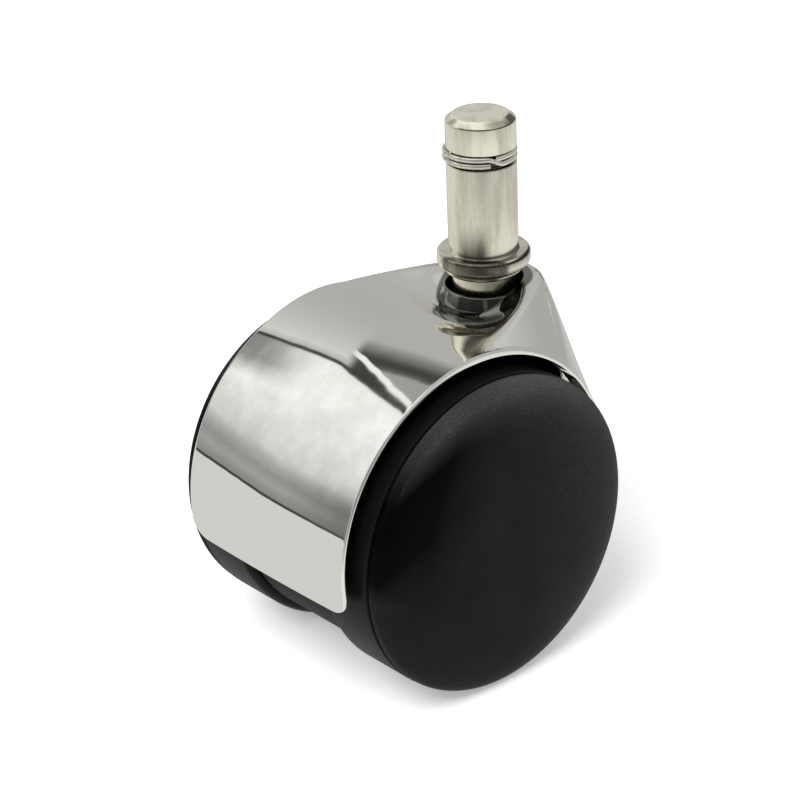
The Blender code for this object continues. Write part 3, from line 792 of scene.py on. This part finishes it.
# Painted reflection: tones that the pin and the boss see towards the near side, by the reflection's height. The
# upward ones darken the pin's reflections that point up.
GAP_TONES = [
    (-1.0, 1.0), (-0.80, 1.0), (-0.68, 0.25), (-0.50, 0.65), (-0.42, 0.80), (-0.32, 0.45),
    (-0.2, 0.20), (0.2, 0.10), (0.62, 0.30), (0.8, 1.0), (1.0, 1.0)]
UPWARD_TONES = [(-1.0, 1.0), (0.05, 1.0), (0.15, 0.15), (0.5, 0.15), (0.75, 1.0), (1.0, 1.0)]


def near_shade(tree, stops, depth):
    """Painted reflection shade: how much light a reflection keeps where it points at the near side, to a given
    depth.
    """
    _, y, z = axes(tree, reflected(tree))
    near = multiply(tree, rescale(tree, y, 0.55, 0.35), aslant(tree))
    return mix_colours(tree, multiply(tree, near, depth), plain(1.0), tones(tree, z, stops))


def chrome_material():
    """Mirror plate: a faint ripple, a cloudy band of rougher plate with small scuffs and painted light and dark
    blotches of reflection, and painted shade on the boss.
    """
    material, tree, shader = new_material("hood_chrome", CHROME, 0.04, 1.0)
    vector = object_coordinates(tree)
    # Cloudy band: real haze in the roughness, with light and dark blotches of painted reflection in the base
    # colour.
    haze = noise(tree, vector, 240.0, 6.0, 0.62)
    tone = ramp(tree, haze, [(0.38, HAZE_PAINTED_DARK), (0.52, CHROME), (0.64, HAZE_PAINTED_LIGHT)])
    aim = (math.cos(HAZE_ANGLE), 0.0, math.sin(HAZE_ANGLE))
    centre = HOOD_CENTRE.x * aim[0] + HOOD_CENTRE.z * aim[2]
    hazy = rescale(tree, along(tree, vector, aim), centre + HAZE_START, centre + HAZE_FULL)
    plate = mix_colours(tree, hazy, (*CHROME, 1.0), tone)
    # Painted shade on the boss: a darkened plate, darker still where the reflection points at the near side.
    boss = rescale(tree, swivel_distance(tree), BOSS_SHADE_START, BOSS_SHADE_FULL)
    shaded = mix_colours(tree, near_shade(tree, GAP_TONES, 1.0), plain(BOSS_SHADE), BOSS_PAINTED_SHADE)
    tree.links.new(mix_colours(tree, boss, plate, shaded), shader.inputs["Base Color"])
    rough = multiply(tree, hazy, map_range(tree, haze, 0.0, HAZE_ROUGHNESS))
    rough = combine(tree, "ADD", rough, MIRROR_ROUGHNESS)
    tree.links.new(rough, shader.inputs["Roughness"])
    bump(tree, shader, noise(tree, vector, 90.0, 2.0), RIPPLE_DEPTH)
    return material


def nickel_plate(name, dark, light, roughness, scale):
    """Satin plate, clouded down its length and finely turned; also gives its tint and cloud."""
    material, tree, shader = new_material(name, light, roughness, 1.0)
    cloud = noise(tree, object_coordinates(tree, (1.0, 1.0, 0.16)), scale, 5.0, 0.65)
    grain = noise(tree, object_coordinates(tree, (0.05, 0.05, 1.0)), 6000.0, 3.0)
    tint = ramp(tree, cloud, [(0.34, dark), (0.52, light)])
    rough = map_range(tree, cloud, roughness * 1.3, roughness * 0.8)
    tree.links.new(tint, shader.inputs["Base Color"])
    tree.links.new(rough, shader.inputs["Roughness"])
    bump(tree, shader, grain, 0.004 * MM)
    return material, tree, shader, tint, cloud


def stem_material():
    """The pin's plate: painted shade in its groove, a painted dark reflection at its foot, painted reflection
    shade towards the near side and a paler end face.
    """
    material, tree, shader, tint, cloud = nickel_plate(
        "stem_nickel", STEEL_DARK, STEEL_LIGHT, 0.22, 260.0)
    height = axes(tree, object_coordinates(tree))[2]
    # Painted shade inside the groove.
    low, high = SEAT_Z + GROOVE_LOW, SEAT_Z + GROOVE_HIGH
    groove = multiply(
        tree, rescale(tree, height, low, low + GROOVE_SHADE),
        rescale(tree, height, high, high - GROOVE_SHADE))
    tint = mix_colours(tree, groove, tint, GROOVE_PAINTED_SHADE)
    # Painted reflection shade: darker where the reflection points at the near side, by its height below the seat,
    # and for upward reflections everywhere.
    below_seat = rescale(tree, height, SEAT_Z + 0.3 * MM, SEAT_Z)
    tint = multiply_colours(tree, tint, near_shade(tree, GAP_TONES, below_seat))
    tint = multiply_colours(tree, tint, near_shade(tree, UPWARD_TONES, 1.0))
    # Painted dark reflection on one side of the pin's foot, fading upward and clouded.
    facing = along(tree, object_coordinates(tree, FLATTEN), DARK_REFLECTION_SIDE)
    dark_reflection = multiply(
        tree, rescale(tree, facing, DARK_REFLECTION_EDGE, DARK_REFLECTION_MIDDLE),
        rescale(tree, height, DARK_REFLECTION_TOP_Z, DARK_REFLECTION_FULL_Z))
    dark_reflection = multiply(tree, dark_reflection, map_range(tree, cloud, 1.3, 0.3))
    tree.links.new(mix_colours(tree, dark_reflection, tint, DARK_REFLECTION), shader.inputs["Base Color"])
    end = rescale(tree, height, -0.3 * MM, -0.05 * MM)
    tree.links.new(map_range(tree, end, 1.0, END_FACE_METAL), shader.inputs["Metallic"])
    return material


def plastic_material(name, colour, roughness, specular, grain_scale, grain_depth):
    """Moulded plastic, faintly clouded and grained; also gives its tint."""
    material, tree, shader = new_material(name, colour, roughness, 0.0)
    shader.inputs["Specular IOR Level"].default_value = specular
    vector = object_coordinates(tree)
    cloud = noise(tree, vector, 120.0)
    low = tuple(c * 0.85 for c in colour)
    high = tuple(c * 1.2 for c in colour)
    tint = ramp(tree, cloud, [(0.3, low), (0.7, high)])
    rough = map_range(tree, cloud, roughness - 0.04, roughness + 0.04)
    tree.links.new(tint, shader.inputs["Base Color"])
    tree.links.new(rough, shader.inputs["Roughness"])
    bump(tree, shader, noise(tree, vector, grain_scale, 2.0), grain_depth)
    return material, tree, shader, tint


def cover_material():
    """Satin moulded cap: fine grain, a painted highlight on its rounded shoulder and right side, and a painted
    dark sweep inside it.
    """
    material, tree, shader, tint = plastic_material(
        "cover_satin_black", COVER_BLACK, 0.42, 0.04, 9000.0, 0.006 * MM)
    # Painted shade: darker where the reflection points ahead and low, except dead square on.
    x, _, z = axes(tree, reflected(tree))
    shade_sweep = multiply(tree, rescale(tree, x, 0.58, 0.40), rescale(tree, z, -0.58, -0.42))
    shade_sweep = multiply(tree, shade_sweep, aslant(tree))
    tint = mix_colours(tree, multiply(tree, shade_sweep, 0.9), tint, plain(0.0))
    # Painted highlight on the upper shoulder and on the right side, by the reflection's direction.
    height = combine(tree, "ADD", z, multiply(tree, combine(tree, "ADD", x, -0.5), 0.4))
    shoulder = multiply(tree, rescale(tree, height, -0.2, 0.35), rescale(tree, x, -1.0, 0.0))
    right = multiply(tree, rescale(tree, x, 0.6, 0.95), SHEEN_RIGHT)
    sheen = combine(tree, "ADD", multiply(tree, shoulder, SHEEN_SHOULDER), right)
    tint = mix_colours(tree, sheen, tint, plain(1.0))
    speckle = noise(tree, object_coordinates(tree), 4200.0, 2.0)
    grain = ramp(tree, speckle, [(0.3, (0.6, 0.6, 0.6)), (0.7, (1.25, 1.25, 1.25))])
    tree.links.new(multiply_colours(tree, tint, grain), shader.inputs["Base Color"])
    return material


def bronze_material():
    """Sintered bearing bronze, finely speckled."""
    material, tree, shader = new_material("bearing_bronze", BRONZE, 0.4, 1.0)
    speck = noise(tree, object_coordinates(tree), 2500.0, 2.0)
    tint = ramp(tree, speck, [(0.35, BRONZE_DARK), (0.65, BRONZE_LIGHT)])
    tree.links.new(tint, shader.inputs["Base Color"])
    bump(tree, shader, speck, 0.01 * MM)
    return material


def build_materials():
    return {
        "chrome": chrome_material(),
        "steel": stem_material(),
        "spring": nickel_plate("ring_steel", SPRING_DARK, SPRING_LIGHT, 0.1, 900.0)[0],
        "cover": cover_material(),
        "tread": plastic_material(
            "tread_black", TREAD_BLACK, 0.4, 0.12, 2500.0, 0.004 * MM)[0],
        "core": plastic_material(
            "housing_black", HOUSING_BLACK, 0.5, 0.1, 4000.0, 0.01 * MM)[0],
        "bronze": bronze_material(),
    }


CAD_LOOKS = {
    "core_body": "core", "wheel_core_left": "core", "wheel_core_right": "core",
    "socket_sleeve": "bronze", "hub_bush_left": "bronze", "hub_bush_right": "bronze",
}


def finish_cad_nodes(materials):
    """Give each CAD node that is carried over its finished material, steel by default."""
    for name, obj in frame["nodes"].items():
        if obj.hide_render:
            continue
        obj.data.materials.clear()
        obj.data.materials.append(materials[CAD_LOOKS.get(name, "steel")])


# --- stage ----------------------------------------------------------------------------------

CAMERA_TURN = math.radians(40.478)
CAMERA_DROP = math.radians(26.499)
CAMERA_ROLL = math.radians(2.443)
CAMERA_DISTANCE = 395.4 * MM
CAMERA_RIGHT = 0.49 * MM
CAMERA_UP = -13.69 * MM
CAMERA_LENS = 112.47
SENSOR = 36.0


def build_camera():
    """A long lens from behind and to the right of the caster, looking down on it."""
    ahead = Vector((math.sin(CAMERA_TURN), math.cos(CAMERA_TURN), 0.0)) * math.cos(CAMERA_DROP)
    ahead.z = -math.sin(CAMERA_DROP)
    right = Vector((math.cos(CAMERA_TURN), -math.sin(CAMERA_TURN), 0.0))
    up = right.cross(ahead)
    tilted_right = right * math.cos(CAMERA_ROLL) - up * math.sin(CAMERA_ROLL)
    tilted_up = right * math.sin(CAMERA_ROLL) + up * math.cos(CAMERA_ROLL)
    place = AXLE - ahead * CAMERA_DISTANCE - tilted_right * CAMERA_RIGHT - tilted_up * CAMERA_UP
    data = bpy.data.cameras.new("camera")
    data.lens = CAMERA_LENS
    data.sensor_width = SENSOR
    data.clip_start = 0.01
    camera = link(bpy.data.objects.new("camera", data))
    rotation = Matrix((tilted_right, tilted_up, -ahead)).transposed()
    camera.matrix_world = Matrix.Translation(place) @ rotation.to_4x4()
    bpy.context.scene.camera = camera


FLOOR_RADIUS = 0.75
FLOOR_GLOW = 0.35
FLOOR_PALE = (0.93, 0.93, 0.93)
FLOOR_DROP = 0.05 * MM


def build_floor():
    """A plain pale round floor. Reflections take their floor from the tent instead."""
    material, _, shader = new_material("floor_pale", FLOOR_PALE, 0.6, 0.0)
    shader.inputs["Specular IOR Level"].default_value = 0.0
    shader.inputs["Emission Color"].default_value = (1.0, 1.0, 1.0, 1.0)
    shader.inputs["Emission Strength"].default_value = FLOOR_GLOW
    work = bmesh.new()
    bmesh.ops.create_circle(work, cap_ends=True, segments=96, radius=FLOOR_RADIUS)
    mesh = bpy.data.meshes.new("floor")
    work.to_mesh(mesh)
    work.free()
    mesh.materials.append(material)
    floor = link(bpy.data.objects.new("floor", mesh))
    floor.location = (AXLE.x, 0.0, FLOOR_Z - FLOOR_DROP)
    floor.visible_glossy = False


# Each list gives a tone for each place along one direction of the tent, from -1 to 1.
WALL_TONES = [
    (-1.0, 0.66), (-0.125, 0.665), (-0.119, 0.05), (-0.102, 0.05), (-0.094, 0.26),
    (-0.06, 0.29), (0.0, 0.37), (0.08, 0.30), (0.16, 0.42), (0.24, 0.66), (0.33, 0.72),
    (0.45, 0.80), (0.7, 0.92), (1.0, 0.95)]
CEILING_TONES = [
    (-0.024, 0.05), (-0.008, 0.05), (0.0, 0.50), (0.05, 0.66), (0.12, 0.60), (0.25, 0.53),
    (0.42, 0.47), (0.6, 0.44), (1.0, 0.42)]
DECK_TONES = [
    (-0.02, 0.36), (0.01, 0.12), (0.05, 0.06), (0.09, 0.06), (0.13, 0.10), (0.17, 0.17),
    (0.21, 0.23), (0.25, 0.32), (0.30, 0.45)]
NEAR_TONES = [
    (-1.0, 0.80), (-0.42, 0.80), (-0.25, 0.56), (-0.05, 0.42), (0.3, 0.42), (0.62, 0.44),
    (0.76, 0.62), (0.84, 0.88), (1.0, 0.95)]
CREST_TONES = [
    (-1.0, 0.60), (-0.5, 0.45), (-0.25, 0.41), (-0.235, 0.10), (-0.21, 0.10), (-0.195, 0.58),
    (0.0, 0.58), (0.2, 0.48), (1.0, 0.44)]
BRIGHT_WALL = 0.93
SHADED_WALL = 0.26
LOW_WALL = 0.14
DARK = 0.05
MIDDLE_Y = 0.70
NEAR_LIMIT = -0.08
DECK_SWEEP = 2.0
BATTEN_SWEEP = 1.3
BATTEN_X = 0.14

# A dim card on the camera's side of the tent: its direction, its tone and its soft edge.
CARD_AIM = (-0.60, -0.70, 0.40)
CARD_TONE = 0.25
CARD_INNER = math.radians(28.0)
CARD_OUTER = math.radians(42.0)


def ceiling_colours(tree, x, side):
    """The ceiling over the deck: a thin swept dark gap, and on the near side a bright batten."""
    near = combine(tree, "MAXIMUM", combine(tree, "MINIMUM", side, 0.0), NEAR_LIMIT)
    swept = multiply(tree, near, DECK_SWEEP)
    across = combine(tree, "SUBTRACT", x, swept)
    batten = combine(tree, "SUBTRACT", across, multiply(tree, near, BATTEN_SWEEP))
    batten = combine(tree, "SUBTRACT", batten, BATTEN_X)
    deck = tones(tree, combine(tree, "ADD", x, swept), DECK_TONES)
    deck = mix_colours(tree, rescale(tree, batten, -0.03, -0.04), deck, plain(DARK))
    shine = rescale(tree, combine(tree, "ABSOLUTE", batten, 0.0), 0.030, 0.022)
    deck = mix_colours(tree, shine, deck, plain(BRIGHT_WALL))
    over = tones(tree, across, CEILING_TONES)
    ceiling = mix_colours(tree, rescale(tree, side, -0.004, -0.013), over, deck)
    shade = multiply(tree, rescale(tree, side, 0.01, 0.055), rescale(tree, x, -0.36, -0.2))
    wall = mix_colours(tree, shade, plain(BRIGHT_WALL), plain(SHADED_WALL))
    return mix_colours(tree, rescale(tree, across, -0.026, -0.034), ceiling, wall)


def wall_colours(tree, z, side):
    """The wall behind the round of the hood, over a floor that begins at a thin dark line."""
    height = combine(tree, "SUBTRACT", z, combine(tree, "MAXIMUM", side, 0.0))
    shade = multiply(tree, rescale(tree, side, -0.01, -0.06), rescale(tree, z, 0.32, 0.12))
    shade = multiply(tree, shade, rescale(tree, height, -0.12, -0.10))
    wall = tones(tree, height, WALL_TONES)
    return mix_colours(tree, multiply(tree, shade, 0.7), wall, plain(LOW_WALL))


def near_colours(tree, x, y, z):
    """The near side, with the tones that the hood's crest shows over its upper front part."""
    low = tones(tree, z, NEAR_TONES)
    crest = mix_colours(tree, rescale(tree, x, -0.1, 0.1), low, tones(tree, y, CREST_TONES))
    return mix_colours(tree, rescale(tree, z, 0.2, 0.4), low, crest)


def far_colours(tree, x, y, z):
    """The far side: the ceiling at the front, and the wall and floor behind and below it."""
    side = combine(tree, "SUBTRACT", y, MIDDLE_Y)
    wall = wall_colours(tree, z, side)
    far = mix_colours(tree, rescale(tree, x, -0.42, -0.34), wall, ceiling_colours(tree, x, side))
    floor = multiply(tree, rescale(tree, z, 0.06, 0.0), rescale(tree, x, 0.4, 0.1))
    return mix_colours(tree, floor, far, wall)


def build_world():
    """A light tent, painted by direction: this is all that the polished metal reflects."""
    world = bpy.data.worlds.new("tent")
    bpy.context.scene.world = world
    world.use_nodes = True
    tree = world.node_tree
    direction = tree.nodes.new("ShaderNodeTexCoord").outputs["Generated"]
    x, y, z = axes(tree, direction)
    tent = mix_colours(
        tree, rescale(tree, y, 0.40, 0.52), near_colours(tree, x, y, z), far_colours(tree, x, y, z))
    toward = along(tree, direction, Vector(CARD_AIM).normalized())
    card = rescale(tree, toward, math.cos(CARD_OUTER), math.cos(CARD_INNER))
    tent = mix_colours(tree, card, tent, plain(CARD_TONE))
    straight = tree.nodes.new("ShaderNodeLightPath").outputs["Is Camera Ray"]
    seen = mix_colours(tree, straight, tent, plain(1.0))
    tree.links.new(seen, tree.nodes["Background"].inputs["Color"])


def area_light(name, place, target, size, power):
    """A round soft light that mirrors don't show, aimed at a target."""
    data = bpy.data.lights.new(name, "AREA")
    data.shape = "DISK"
    data.size = size
    data.energy = power
    light = link(bpy.data.objects.new(name, data))
    light.location = place
    light.rotation_euler = (Vector(target) - Vector(place)).to_track_quat("-Z", "Y").to_euler()
    light.visible_glossy = False


KEY_PLACE = (-0.5, -0.2, 0.6)
KEY_SIZE = 0.5
KEY_POWER = 6.0


def build_stage():
    build_floor()
    build_world()
    build_camera()
    area_light("key", KEY_PLACE, AXLE, KEY_SIZE, KEY_POWER)
    bpy.context.scene.view_settings.view_transform = "Standard"


# --- build ----------------------------------------------------------------------------------

materials = build_materials()
build_hood(materials["chrome"])
build_stem(materials["steel"], materials["spring"])
build_wheels(materials)
finish_cad_nodes(materials)
build_stage()
